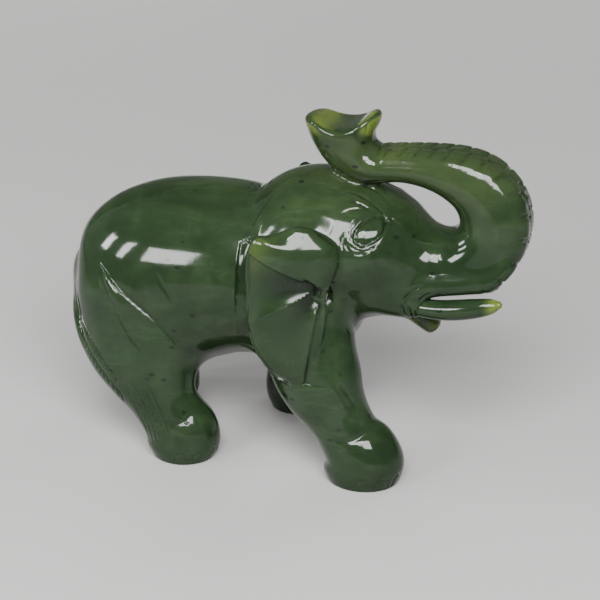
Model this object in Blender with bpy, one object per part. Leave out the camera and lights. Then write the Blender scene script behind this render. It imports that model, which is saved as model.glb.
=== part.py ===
"""A carved jade elephant walking with its trunk thrown back over its head.

The head points along +X, the elephant's left side is +Y and its soles rest on Z = 0. The whole
figure is cut from one stone, so its limbs are lofted one by one, joined and melted into one
skin. The two tusks are separate pegs that sit in sockets drilled behind the lips.
"""

import math

import bmesh
import bpy
from mathutils import Matrix, Vector

MM = 0.001
# The stations below are measured from the middle of the shoulders. This slides the figure
# along its length until the origin lies under the middle of its bounding box.
SLIDE_X = 1.7
RING_POINTS = 32
STEPS_PER_STATION = 4
SKIN_GRAIN = 1.5
SKIN_MELT = 0.5
SKIN_MELT_ROUNDS = 7
SKIN_TRIANGLES_KEPT = 0.105
CEMENT_GAP = 0.3
SOCKET_FLOOR = 0.6
DEEP_GREEN = (0.03, 0.08, 0.025)
LIME_GREEN = (0.12, 0.20, 0.05)
POLISH = 0.12

Y_AXIS = Vector((0, 1, 0))

# Every station is (x, y, z, half height in the plane of the path, half width across it), in mm.
TORSO = [
    (-88.5, 0, 51.0, 6.0, 4.0),
    (-87.0, 0, 51.5, 14.0, 10.0),
    (-84.0, 0, 52.5, 21.0, 16.0),
    (-79.0, 0, 53.7, 26.7, 22.0),
    (-71.5, 0, 56.6, 32.1, 27.5),
    (-60.0, 0, 61.9, 36.2, 31.5),
    (-48.0, 0, 67.0, 36.8, 33.0),
    (-36.0, 0, 70.0, 35.5, 33.0),
    (-24.0, 0, 71.3, 33.8, 32.5),
    (-12.0, 0, 70.5, 31.8, 32.0),
    (0.0, 0, 68.5, 30.0, 31.0),
    (10.0, 0, 65.0, 28.0, 29.0),
    (17.0, 0, 61.5, 24.0, 24.0),
    (21.5, 0, 59.0, 16.0, 17.0),
    (24.5, 0, 58.0, 8.0, 8.0),
]
HEAD = [
    (-16.0, 0, 78.0, 19.0, 22.0),
    (-8.0, 0, 79.5, 22.5, 27.0),
    (0.0, 0, 83.5, 27.0, 28.0),
    (8.0, 0, 86.5, 28.4, 28.0),
    (17.0, 0, 87.5, 27.2, 27.5),
    (26.0, 0, 87.5, 24.2, 26.5),
    (34.0, 0, 86.5, 20.8, 24.0),
    (42.0, 0, 84.0, 17.6, 20.0),
    (49.0, 0, 82.5, 14.0, 16.5),
    (56.0, 0, 82.5, 11.0, 13.5),
]
JAW = [
    (14.0, 0, 72.0, 15.0, 20.0),
    (28.0, 0, 68.5, 10.0, 16.0),
    (37.0, 0, 67.0, 7.5, 12.5),
    (45.0, 0, 64.2, 6.0, 9.0),
    (50.0, 0, 59.2, 4.6, 6.8),
    (53.0, 0, 55.6, 3.2, 5.2),
]
TRUNK = [
    (36.0, 0, 85.5, 16.0, 18.0),
    (48.0, 0, 84.0, 13.0, 15.5),
    (58.0, 0, 83.8, 11.8, 14.5),
    (67.0, 0, 87.0, 12.5, 14.5),
    (73.0, 0, 93.0, 13.4, 14.2),
    (74.8, 0, 100.0, 13.4, 13.8),
    (73.2, 0, 107.0, 13.2, 13.2),
    (68.0, 0, 113.5, 12.2, 12.6),
    (60.0, 0, 117.5, 10.2, 12.0),
    (50.0, 0, 119.5, 7.8, 11.2),
    (40.0, 0, 119.8, 6.6, 10.5),
    (31.0, 0, 119.0, 6.8, 10.3),
    (24.5, 0, 120.5, 8.8, 10.5),
    (20.0, 0, 124.5, 10.8, 11.2),
    (17.5, 0, 130.0, 13.0, 11.6),
    (16.5, 0, 136.5, 14.8, 11.8),
]
RIGHT_HIND_LEG = [
    (-60.0, -14.0, 60.0, 23.0, 16.0),
    (-58.5, -16.5, 48.0, 24.0, 16.5),
    (-57.0, -18.5, 40.0, 23.0, 16.0),
    (-54.0, -20.5, 32.5, 19.2, 14.5),
    (-50.6, -22.0, 26.0, 15.6, 13.2),
    (-47.7, -23.0, 20.5, 13.2, 12.0),
    (-44.3, -23.0, 15.0, 13.4, 12.0),
    (-41.4, -23.0, 10.0, 14.8, 12.5),
    (-40.6, -23.0, 5.0, 14.6, 12.6),
    (-40.6, -23.0, 1.0, 12.8, 11.8),
    (-40.6, -23.0, -3.0, 11.0, 10.5),
]
LEFT_HIND_LEG = [
    (-60.0, 15.0, 60.0, 25.0, 15.0),
    (-61.0, 17.5, 47.0, 24.0, 15.5),
    (-62.0, 20.0, 39.0, 20.0, 15.0),
    (-63.0, 22.0, 31.0, 16.5, 14.0),
    (-63.5, 23.5, 24.0, 14.0, 12.8),
    (-64.0, 24.5, 17.0, 13.0, 12.0),
    (-64.5, 25.0, 10.0, 13.5, 12.3),
    (-64.0, 25.0, 5.0, 13.2, 12.5),
    (-64.0, 25.0, 1.0, 12.2, 11.8),
    (-64.0, 25.0, -3.0, 10.8, 10.4),
]
RIGHT_FRONT_LEG = [
    (2.0, -15.0, 72.0, 22.0, 14.0),
    (5.5, -18.0, 60.0, 19.5, 14.0),
    (9.5, -20.5, 49.0, 17.5, 14.0),
    (13.5, -22.0, 40.0, 17.0, 13.5),
    (16.8, -22.5, 33.0, 15.4, 13.0),
    (20.5, -23.0, 27.0, 13.0, 12.2),
    (24.0, -23.5, 21.5, 11.8, 11.8),
    (26.8, -23.5, 16.5, 12.2, 12.4),
    (30.2, -23.5, 12.0, 14.5, 13.3),
    (31.6, -23.5, 7.5, 16.0, 13.8),
    (31.8, -23.5, 3.0, 15.0, 13.2),
    (31.8, -23.5, -3.0, 12.5, 11.5),
]
LEFT_FRONT_LEG = [
    (3.0, 15.0, 72.0, 22.0, 14.0),
    (2.5, 18.0, 58.0, 19.0, 14.0),
    (-0.5, 21.5, 46.0, 16.0, 13.5),
    (-4.0, 24.5, 36.0, 13.3, 12.8),
    (-7.0, 27.0, 26.0, 11.8, 12.0),
    (-8.8, 28.2, 18.0, 12.0, 11.8),
    (-9.2, 28.9, 12.0, 13.0, 12.2),
    (-9.0, 29.2, 7.0, 13.2, 12.2),
    (-8.5, 29.2, 3.0, 12.4, 11.6),
    (-8.5, 29.2, -3.0, 10.8, 10.0),
]
# The ear hangs from the temple. Its half width here is its thickness.
RIGHT_EAR = [
    (9.2, -30.4, 100.6, 6.0, 3.2),
    (9.0, -30.8, 98.4, 11.5, 3.9),
    (8.5, -31.8, 94.5, 15.6, 5.2),
    (6.0, -33.2, 89.0, 17.0, 5.5),
    (4.6, -34.2, 80.0, 15.2, 5.1),
    (4.6, -34.8, 70.0, 14.8, 4.8),
    (4.8, -35.0, 60.0, 13.6, 4.4),
    (6.0, -34.8, 52.0, 10.6, 4.0),
    (7.2, -34.4, 46.5, 7.0, 3.3),
    (8.0, -34.2, 43.8, 3.6, 2.4),
]
EAR_FACE = Vector((0.24, -0.97, 0))
LEFT_EAR_FACE = Vector((0.24, 0.97, 0))
LEFT_EAR_SET_BACK = 3.0
LEFT_EAR_RAISED = 2.5
EAR_HOLLOW_CENTRE = (13.5, -41.2, 82.5)
EAR_HOLLOW_REACH = (6.5, 6.0, 11.0)
EYE_CENTRE = (32.5, -19.6, 99.0)
EYE_REACH = (6.5, 3.0, 4.6)
EYE_RISE = 0.25
TAIL = [
    (-78.0, -1.0, 80.0, 2.6, 3.0),
    (-84.5, -4.0, 68.5, 3.0, 3.8),
    (-86.6, -8.0, 58.0, 3.0, 4.4),
    (-85.6, -12.0, 49.0, 3.0, 4.8),
    (-81.0, -17.0, 41.0, 3.0, 5.2),
    (-74.5, -21.5, 34.0, 2.8, 5.0),
    (-68.0, -25.0, 28.0, 2.2, 3.6),
]
LIP_CORNER = [
    (30.0, -14.0, 74.0, 8.0, 6.0),
    (40.0, -12.5, 71.0, 7.0, 6.0),
    (49.0, -12.5, 69.3, 5.4, 5.4),
]
UPPER_LIP = [
    (42.0, -12.0, 76.6, 5.8, 6.5),
    (50.0, -12.8, 77.6, 5.0, 5.4),
    (58.0, -12.8, 79.0, 4.6, 5.0),
    (66.0, -12.2, 80.2, 4.6, 5.0),
    (73.5, -10.4, 82.0, 5.2, 5.4),
    (79.0, -7.0, 86.5, 5.0, 6.0),
]
RIGHT_TUSK = [
    (41.0, -11.6, 69.8, 3.2, 3.2),
    (50.0, -13.2, 68.9, 3.5, 3.5),
    (58.0, -14.3, 69.2, 3.8, 3.7),
    (65.0, -15.0, 70.4, 3.9, 3.8),
    (72.0, -15.2, 72.0, 3.6, 3.5),
    (77.0, -15.0, 73.3, 2.8, 2.8),
    (79.8, -14.8, 74.1, 1.4, 1.5),
]
LEFT_TUSK_SET_BACK = 3.0
# The mouth is a flat hollow between the trunk's root and the lower lip.
MOUTH_CENTRE = (60.0, 0.0, 68.0)
MOUTH_REACH = (15.0, 11.0, 2.6)
MOUTH_RISE = 0.12
# The trunk's end is hollowed by a round saddle that runs from side to side.
SADDLE_CENTRE = (16.5, 0.0, 147.0)
SADDLE_RADIUS = 13.5
SADDLE_LENGTH = 40.0
FLOOR_SLAB = (260.0, 140.0, 20.0)


def clear_scene():
    for old in list(bpy.data.objects):
        bpy.data.objects.remove(old, do_unlink=True)


def mirrored(stations, back=0.0, up=0.0):
    """The same limb on the elephant's left side."""
    return [(x - back, -y, z + up, high, wide) for x, y, z, high, wide in stations]


def other_side(point, back=0.0, up=0.0):
    """The same point on the elephant's left side."""
    return (point[0] - back, -point[1], point[2] + up)


def between(stations, steps):
    """Stations with a smooth Catmull-Rom curve of `steps` stations through each gap."""
    ends = [stations[0]] + list(stations) + [stations[-1]]
    fine = []
    for before, start, end, after in zip(ends, ends[1:], ends[2:], ends[3:]):
        for step in range(steps):
            t = step / steps
            fine.append(
                tuple(
                    b + 0.5 * t * (c - a + t * (2 * a - 5 * b + 4 * c - d + t * (3 * (b - c) + d - a)))
                    for a, b, c, d in zip(before, start, end, after)
                )
            )
    fine.append(tuple(float(value) for value in stations[-1]))
    return fine


def loft(name, stations, across=Y_AXIS, grow=0.0, steps=STEPS_PER_STATION):
    """A closed limb: an elliptical ring at each station, bridged to the next and capped."""
    fine = between(stations, steps)
    centres = [Vector(s[:3]) for s in fine]
    bm = bmesh.new()
    rings = []
    loops = []
    for i, station in enumerate(fine):
        along = (centres[min(i + 1, len(fine) - 1)] - centres[max(i - 1, 0)]).normalized()
        up = across.cross(along).normalized()
        side = along.cross(up)
        turn = Matrix((up, side, along)).transposed().to_4x4()
        size = Matrix.Diagonal((station[3] + grow, station[4] + grow, 1, 1))
        slide = Vector((SLIDE_X, 0, 0))
        place = Matrix.Scale(MM, 4) @ Matrix.Translation(centres[i] + slide) @ turn @ size
        ring = bmesh.ops.create_circle(bm, segments=RING_POINTS, radius=1, matrix=place)["verts"]
        rings.append(ring)
        loops.append(list({edge for vert in ring for edge in vert.link_edges}))
    for lower, upper in zip(loops, loops[1:]):
        bmesh.ops.bridge_loops(bm, edges=lower + upper)
    bm.faces.new(rings[0])
    bm.faces.new(rings[-1])
    bmesh.ops.recalc_face_normals(bm, faces=bm.faces)
    mesh = bpy.data.meshes.new(name)
    bm.to_mesh(mesh)
    bm.free()
    obj = bpy.data.objects.new(name, mesh)
    bpy.context.collection.objects.link(obj)
    return obj


def hide_helper(obj):
    """Marks a cutter, so that it isn't part of the figurine."""
    obj.hide_render = True
    obj.display_type = "WIRE"
    return obj


def ellipsoid(name, centre, reach, tilt=0.0):
    """A ball stretched to `reach` and tilted about Y."""
    bm = bmesh.new()
    place = (
        Matrix.Translation(Vector((centre[0] + SLIDE_X, centre[1], centre[2])) * MM)
        @ Matrix.Rotation(tilt, 4, "Y")
        @ Matrix.Diagonal((reach[0] * MM, reach[1] * MM, reach[2] * MM, 1))
    )
    bmesh.ops.create_icosphere(bm, subdivisions=3, radius=1, matrix=place)
    return object_from(bm, name)


def roller(name, centre, radius, length):
    """A cylinder that lies along Y, as a hidden cutter."""
    bm = bmesh.new()
    place = Matrix.Translation(Vector((centre[0] + SLIDE_X, centre[1], centre[2])) * MM)
    place = place @ Matrix.Rotation(math.pi / 2, 4, "X")
    bmesh.ops.create_cone(
        bm,
        cap_ends=True,
        segments=64,
        radius1=radius * MM,
        radius2=radius * MM,
        depth=length * MM,
        matrix=place,
    )
    return hide_helper(object_from(bm, name))


def slab(name, size, top):
    """A block whose upper face is at height `top`, as a hidden cutter."""
    bm = bmesh.new()
    place = Matrix.Translation(Vector((0, 0, top - size[2] / 2)) * MM)
    place = place @ Matrix.Diagonal((size[0] * MM, size[1] * MM, size[2] * MM, 1))
    bmesh.ops.create_cube(bm, size=1, matrix=place)
    return hide_helper(object_from(bm, name))


def object_from(bm, name):
    mesh = bpy.data.meshes.new(name)
    bm.to_mesh(mesh)
    bm.free()
    obj = bpy.data.objects.new(name, mesh)
    bpy.context.collection.objects.link(obj)
    return obj


def joined(name, limbs):
    """One mesh that holds every limb. The limbs still pass through each other."""
    bm = bmesh.new()
    for limb in limbs:
        bm.from_mesh(limb.data)
        bpy.data.objects.remove(limb, do_unlink=True)
    return object_from(bm, name)


def melt_into_one_skin(obj):
    """Turns overlapping limbs into one closed skin with soft creases."""
    remesh = obj.modifiers.new("one_skin", "REMESH")
    remesh.mode = "VOXEL"
    remesh.voxel_size = SKIN_GRAIN * MM
    remesh.adaptivity = 0
    smooth = obj.modifiers.new("soft_creases", "SMOOTH")
    smooth.factor = SKIN_MELT
    smooth.iterations = SKIN_MELT_ROUNDS
    thin = obj.modifiers.new("fewer_triangles", "DECIMATE")
    thin.ratio = SKIN_TRIANGLES_KEPT
    thin.use_collapse_triangulate = True


def cut(obj, cutter):
    """Takes the cutter's shape out of `obj`."""
    boolean = obj.modifiers.new("cut_" + cutter.name, "BOOLEAN")
    boolean.operation = "DIFFERENCE"
    boolean.solver = "EXACT"
    boolean.object = cutter


def jade(name, colour):
    material = bpy.data.materials.new(name)
    material.use_nodes = True
    shader = material.node_tree.nodes["Principled BSDF"]
    shader.inputs["Base Color"].default_value = (*colour, 1)
    shader.inputs["Roughness"].default_value = POLISH
    return material


def finish(obj, material):
    obj.data.materials.clear()
    obj.data.materials.append(material)
    for face in obj.data.polygons:
        face.use_smooth = True


def socket_for(name, stations):
    """The blind hole for a tusk: its buried length, wider by the cement and a little deeper."""
    first = Vector(stations[0][:3])
    along = (Vector(stations[1][:3]) - first).normalized()
    floor = first - along * SOCKET_FLOOR
    deep = (*floor, stations[0][3], stations[0][4])
    hole = loft(name, [deep] + list(stations), grow=CEMENT_GAP)
    return hide_helper(hole)


def build():
    clear_scene()
    left_ear = mirrored(RIGHT_EAR, LEFT_EAR_SET_BACK, LEFT_EAR_RAISED)
    limbs = [
        loft("torso", TORSO),
        loft("head", HEAD),
        loft("jaw", JAW),
        loft("trunk", TRUNK),
        loft("right_hind_leg", RIGHT_HIND_LEG),
        loft("left_hind_leg", LEFT_HIND_LEG),
        loft("right_front_leg", RIGHT_FRONT_LEG),
        loft("left_front_leg", LEFT_FRONT_LEG),
        loft("right_ear", RIGHT_EAR, across=EAR_FACE),
        loft("left_ear", left_ear, across=LEFT_EAR_FACE),
        loft("tail", TAIL),
        loft("right_lip_corner", LIP_CORNER),
        loft("left_lip_corner", mirrored(LIP_CORNER)),
        loft("right_upper_lip", UPPER_LIP),
        loft("left_upper_lip", mirrored(UPPER_LIP)),
        ellipsoid("right_eye", EYE_CENTRE, EYE_REACH, -EYE_RISE),
        ellipsoid("left_eye", other_side(EYE_CENTRE), EYE_REACH, -EYE_RISE),
    ]
    body = joined("carved_body", limbs)
    melt_into_one_skin(body)
    cut(body, slab("floor_slab", FLOOR_SLAB, 0.0))
    cut(body, hide_helper(ellipsoid("mouth_hollow", MOUTH_CENTRE, MOUTH_REACH, -MOUTH_RISE)))
    cut(body, hide_helper(ellipsoid("right_ear_hollow", EAR_HOLLOW_CENTRE, EAR_HOLLOW_REACH)))
    left_hollow = other_side(EAR_HOLLOW_CENTRE, LEFT_EAR_SET_BACK, LEFT_EAR_RAISED)
    cut(body, hide_helper(ellipsoid("left_ear_hollow", left_hollow, EAR_HOLLOW_REACH)))
    cut(body, roller("tip_saddle", SADDLE_CENTRE, SADDLE_RADIUS, SADDLE_LENGTH))
    left_tusk = mirrored(RIGHT_TUSK, LEFT_TUSK_SET_BACK)
    cut(body, socket_for("right_socket", RIGHT_TUSK))
    cut(body, socket_for("left_socket", left_tusk))
    finish(body, jade("body_jade", DEEP_GREEN))
    finish(loft("right_tusk", RIGHT_TUSK), jade("right_tusk_jade", LIME_GREEN))
    finish(loft("left_tusk", left_tusk), jade("left_tusk_jade", LIME_GREEN))


build()
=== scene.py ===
"""A polished jade elephant with its trunk thrown back over its head.

The body is modelled the way a carver works. Its limbs are laid down as chains of oval sections and
melted into one stone. Every fold, pleat, wrinkle and hair line is then cut into the skin as a stroke
with its own width and depth. The head points along +X and the elephant's left is +Y.
"""
import math

import bpy
import numpy as np
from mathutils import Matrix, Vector


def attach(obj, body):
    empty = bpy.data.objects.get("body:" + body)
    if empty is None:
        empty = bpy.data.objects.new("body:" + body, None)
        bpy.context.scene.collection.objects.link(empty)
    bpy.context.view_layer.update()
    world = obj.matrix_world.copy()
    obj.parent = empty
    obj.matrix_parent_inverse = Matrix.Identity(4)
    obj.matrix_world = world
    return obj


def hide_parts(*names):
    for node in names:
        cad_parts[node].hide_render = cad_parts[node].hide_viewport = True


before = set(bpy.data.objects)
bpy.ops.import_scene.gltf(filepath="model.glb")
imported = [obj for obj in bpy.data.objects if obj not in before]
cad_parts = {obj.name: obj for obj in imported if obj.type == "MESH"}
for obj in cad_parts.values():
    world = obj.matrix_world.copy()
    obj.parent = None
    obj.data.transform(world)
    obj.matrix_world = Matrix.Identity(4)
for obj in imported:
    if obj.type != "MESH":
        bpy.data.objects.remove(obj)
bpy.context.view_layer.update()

bl_info = {
    "name": "Carved Jade Elephant",
    "version": (1, 0, 0),
    "blender": (4, 5, 0),
    "location": "View3D > Sidebar > Jade Elephant",
    "description": "Carves a jade elephant with pegged tusks and sets it on a studio floor",
    "category": "Add Mesh",
}

MM = 0.001
FAR = 99.0

# ---------------------------------------------------------------------------------------------------
# The elephant's limbs. A station is (x, y, z, half height in the path's plane, half width across it),
# in millimetres from the middle of the shoulders.
# ---------------------------------------------------------------------------------------------------
SLIDE_X = 1.7

TORSO = [
    (-88.5, 0, 51.0, 6.0, 4.0),
    (-87.0, 0, 51.5, 14.0, 10.0),
    (-84.0, 0, 52.5, 21.0, 16.0),
    (-79.0, 0, 53.7, 26.7, 22.0),
    (-71.5, 0, 56.6, 32.1, 27.5),
    (-60.0, 0, 61.9, 36.2, 31.5),
    (-48.0, 0, 67.0, 36.8, 33.0),
    (-36.0, 0, 70.0, 35.5, 33.0),
    (-24.0, 0, 71.3, 33.8, 32.5),
    (-12.0, 0, 70.5, 31.8, 32.0),
    (0.0, 0, 68.5, 30.0, 31.0),
    (10.0, 0, 65.0, 28.0, 29.0),
    (17.0, 0, 61.5, 24.0, 24.0),
    (21.5, 0, 59.0, 16.0, 17.0),
    (24.5, 0, 58.0, 8.0, 8.0),
]
HEAD = [
    (-16.0, 0, 78.0, 19.0, 22.0),
    (-8.0, 0, 79.5, 22.5, 27.0),
    (0.0, 0, 83.5, 27.0, 28.0),
    (8.0, 0, 86.5, 28.4, 28.0),
    (17.0, 0, 87.5, 27.2, 27.5),
    (26.0, 0, 87.5, 24.2, 26.5),
    (34.0, 0, 86.5, 20.8, 24.0),
    (42.0, 0, 84.0, 17.6, 20.0),
    (49.0, 0, 82.5, 14.0, 16.5),
    (56.0, 0, 82.5, 11.0, 13.5),
]
JAW = [
    (14.0, 0, 72.0, 15.0, 20.0),
    (28.0, 0, 68.5, 10.0, 16.0),
    (37.0, 0, 67.0, 7.5, 12.5),
    (45.0, 0, 64.2, 6.0, 9.0),
    (50.0, 0, 59.2, 4.6, 6.8),
    (53.0, 0, 55.6, 3.2, 5.2),
]
TRUNK = [
    (36.0, 0, 85.5, 16.0, 18.0),
    (48.0, 0, 84.0, 13.0, 15.5),
    (58.0, 0, 83.8, 11.8, 14.5),
    (67.0, 0, 87.0, 12.5, 14.5),
    (73.0, 0, 93.0, 13.4, 14.2),
    (74.8, 0, 100.0, 13.4, 13.8),
    (73.2, 0, 107.0, 13.2, 13.2),
    (68.0, 0, 113.5, 12.2, 12.6),
    (60.0, 0, 117.5, 10.2, 12.0),
    (50.0, 0, 119.5, 7.8, 11.2),
    (40.0, 0, 119.8, 6.6, 10.5),
    (31.0, 0, 119.0, 6.8, 10.3),
    (24.5, 0, 120.5, 8.8, 10.5),
    (20.0, 0, 124.5, 10.8, 11.2),
    (17.5, 0, 130.0, 13.0, 11.6),
    (16.5, 0, 136.5, 14.8, 11.8),
]
RIGHT_HIND_LEG = [
    (-60.0, -14.0, 60.0, 23.0, 16.0),
    (-58.5, -16.5, 48.0, 24.0, 16.5),
    (-57.0, -18.5, 40.0, 23.0, 16.0),
    (-54.0, -20.5, 32.5, 19.2, 14.5),
    (-50.6, -22.0, 26.0, 15.6, 13.2),
    (-47.7, -23.0, 20.5, 13.2, 12.0),
    (-44.3, -23.0, 15.0, 13.4, 12.0),
    (-41.4, -23.0, 10.0, 14.8, 12.5),
    (-40.6, -23.0, 5.0, 14.6, 12.6),
    (-40.6, -23.0, 1.0, 12.8, 11.8),
    (-40.6, -23.0, -3.0, 11.0, 10.5),
]
LEFT_HIND_LEG = [
    (-60.0, 15.0, 60.0, 25.0, 15.0),
    (-61.0, 17.5, 47.0, 24.0, 15.5),
    (-62.0, 20.0, 39.0, 20.0, 15.0),
    (-63.0, 22.0, 31.0, 16.5, 14.0),
    (-63.5, 23.5, 24.0, 14.0, 12.8),
    (-64.0, 24.5, 17.0, 13.0, 12.0),
    (-64.5, 25.0, 10.0, 13.5, 12.3),
    (-64.0, 25.0, 5.0, 13.2, 12.5),
    (-64.0, 25.0, 1.0, 12.2, 11.8),
    (-64.0, 25.0, -3.0, 10.8, 10.4),
]
RIGHT_FRONT_LEG = [
    (2.0, -15.0, 72.0, 22.0, 14.0),
    (5.5, -18.0, 60.0, 19.5, 14.0),
    (9.5, -20.5, 49.0, 17.5, 14.0),
    (13.5, -22.0, 40.0, 17.0, 13.5),
    (16.8, -22.5, 33.0, 15.4, 13.0),
    (20.5, -23.0, 27.0, 13.0, 12.2),
    (24.0, -23.5, 21.5, 11.8, 11.8),
    (26.8, -23.5, 16.5, 12.2, 12.4),
    (30.2, -23.5, 12.0, 14.5, 13.3),
    (31.6, -23.5, 7.5, 16.0, 13.8),
    (31.8, -23.5, 3.0, 15.0, 13.2),
    (31.8, -23.5, -3.0, 12.5, 11.5),
]
LEFT_FRONT_LEG = [
    (3.0, 15.0, 72.0, 22.0, 14.0),
    (2.5, 18.0, 58.0, 19.0, 14.0),
    (-0.5, 21.5, 46.0, 16.0, 13.5),
    (-4.0, 24.5, 36.0, 13.3, 12.8),
    (-7.0, 27.0, 26.0, 11.8, 12.0),
    (-8.8, 28.2, 18.0, 12.0, 11.8),
    (-9.2, 28.9, 12.0, 13.0, 12.2),
    (-9.0, 29.2, 7.0, 13.2, 12.2),
    (-8.5, 29.2, 3.0, 12.4, 11.6),
    (-8.5, 29.2, -3.0, 10.8, 10.0),
]
# The ear hangs from the temple. Its half width here is its thickness.
RIGHT_EAR = [
    (9.2, -30.4, 100.6, 6.0, 3.2),
    (9.0, -30.8, 98.4, 11.5, 3.9),
    (8.5, -31.8, 94.5, 15.6, 5.2),
    (6.0, -33.2, 89.0, 17.0, 5.5),
    (4.6, -34.2, 80.0, 15.2, 5.1),
    (4.6, -34.8, 70.0, 14.8, 4.8),
    (4.8, -35.0, 60.0, 13.6, 4.4),
    (6.0, -34.8, 52.0, 10.6, 4.0),
    (7.2, -34.4, 46.5, 7.0, 3.3),
    (8.0, -34.2, 43.8, 3.6, 2.4),
]
EAR_FACE = (0.24, -0.97, 0.0)
LEFT_EAR_SET_BACK = 3.0
LEFT_EAR_RAISED = 2.5
LEFT_TUSK_SET_BACK = 3.0
TAIL = [
    (-78.0, -1.0, 80.0, 2.6, 3.0),
    (-84.5, -4.0, 68.5, 3.0, 3.8),
    (-86.6, -8.0, 58.0, 3.0, 4.4),
    (-85.6, -12.0, 49.0, 3.0, 4.8),
    (-81.0, -17.0, 41.0, 3.0, 5.2),
    (-74.5, -21.5, 34.0, 2.8, 5.0),
    (-68.0, -25.0, 28.0, 2.2, 3.6),
]
LIP_CORNER = [
    (30.0, -14.0, 74.0, 8.0, 6.0),
    (40.0, -12.5, 71.0, 7.0, 6.0),
    (49.0, -12.5, 69.3, 5.4, 5.4),
]
UPPER_LIP = [
    (42.0, -12.0, 76.6, 5.8, 6.5),
    (50.0, -12.8, 77.6, 5.0, 5.4),
    (58.0, -12.8, 79.0, 4.6, 5.0),
    (66.0, -12.2, 80.2, 4.6, 5.0),
    (73.5, -10.4, 82.0, 5.2, 5.4),
    (79.0, -7.0, 86.5, 5.0, 6.0),
]
RIGHT_TUSK = [
    (41.0, -11.6, 69.8, 3.2, 3.2),
    (50.0, -13.2, 68.9, 3.5, 3.5),
    (58.0, -14.3, 69.2, 3.8, 3.7),
    (65.0, -15.0, 70.4, 3.9, 3.8),
    (72.0, -15.2, 72.0, 3.6, 3.5),
    (77.0, -15.0, 73.3, 2.8, 2.8),
    (79.8, -14.8, 74.1, 1.4, 1.5),
]


def other_side(stations, back=0.0, up=0.0):
    """The same chain on the elephant's left side."""
    return [(x - back, -y, z + up, *rest) for x, y, z, *rest in stations]


def through(points, steps):
    """A Catmull-Rom curve through every point, with `steps` samples to a gap."""
    p = np.asarray(points, float)
    p = np.vstack([p[:1], p, p[-1:]])
    t = (np.arange(steps) / steps)[None, :, None]
    a, b, c, d = (p[i : len(p) - 3 + i][:, None] for i in range(4))
    curve = b + 0.5 * t * (c - a + t * (2 * a - 5 * b + 4 * c - d + t * (3 * (b - c) + d - a)))
    return np.vstack([curve.reshape(-1, p.shape[1]), p[-1:]])


LEFT_EAR = other_side(RIGHT_EAR, LEFT_EAR_SET_BACK, LEFT_EAR_RAISED)
LEFT_EAR_FACE = (EAR_FACE[0], -EAR_FACE[1], 0.0)


def unit(v):
    """Each vector divided by its own length."""
    return v / np.maximum(np.linalg.norm(v, axis=-1, keepdims=True), 1e-9)


# ---------------------------------------------------------------------------------------------------
# The stone as a field: negative inside, zero on the skin, about one per millimetre
# ---------------------------------------------------------------------------------------------------
def soft_min(a, b, reach):
    """The smaller of two fields, rounded where they are within `reach` of each other."""
    h = np.maximum(reach - np.abs(a - b), 0) / reach
    return np.minimum(a, b) - h * h * reach / 4


def soft_max(a, b, reach):
    """The larger of two fields, rounded in the same way."""
    return -soft_min(-a, -b, reach)


FLAT_CAP = 1.2


def oval(u, s, w, high, wide, deep):
    """Distance to an ellipsoid: q (q - 1) / |grad q|, where q is the scaled distance from its middle."""
    q = np.sqrt((u / high) ** 2 + (s / wide) ** 2 + (w / deep) ** 2)
    slope = np.sqrt((u / high**2) ** 2 + (s / wide**2) ** 2 + (w / deep**2) ** 2)
    return q * (q - 1) / np.maximum(slope, 1e-6)


def chain(points, stations, across=(0, 1, 0), cap=FLAT_CAP, steps=4):
    """Distance to a limb. Planes stand across its path at every step, and a point between two of them is
    measured against the oval at its own place between them. Past its ends the limb closes within `cap`."""
    fine = through(stations, steps).astype(np.float32)
    across = np.asarray(across, np.float32)
    facing = unit(np.gradient(fine[:, :3], axis=0))
    found = np.full(len(points), FAR, np.float32)
    last = len(fine) - 2
    for i in range(last + 1):
        start, end = fine[i], fine[i + 1]
        behind = (points - start[:3]) @ facing[i]
        ahead = (end[:3] - points) @ facing[i + 1]
        here = (behind >= 0) & (ahead > 0)
        past = np.zeros(len(points), np.float32)
        if i == 0:
            here |= behind < 0
            past = np.maximum(-behind, past)
        if i == last:
            here |= ahead <= 0
            past = np.maximum(-ahead, past)
        near = np.flatnonzero(here)
        t = np.clip(behind[near] / np.maximum(behind[near] + ahead[near], 1e-6), 0, 1)
        middle = start + t[:, None] * (end - start)
        along = unit(facing[i] + t[:, None] * (facing[i + 1] - facing[i]))
        up = unit(np.cross(across, along))
        side = np.cross(along, up)
        rel = points[near] - middle[:, :3]
        apart = oval((rel * up).sum(1), (rel * side).sum(1), past[near], middle[:, 3], middle[:, 4], cap)
        found[near] = np.minimum(found[near], apart)
    return found


def ball(points, centre, reach, rise=0.0):
    """Distance to an ellipsoid at `centre`, with its long axis tilted up by `rise` radians."""
    rel = points - np.asarray(centre, np.float32)
    c, s = math.cos(rise), math.sin(rise)
    return oval(rel[:, 0] * c + rel[:, 2] * s, rel[:, 1], rel[:, 2] * c - rel[:, 0] * s, *reach)


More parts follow.
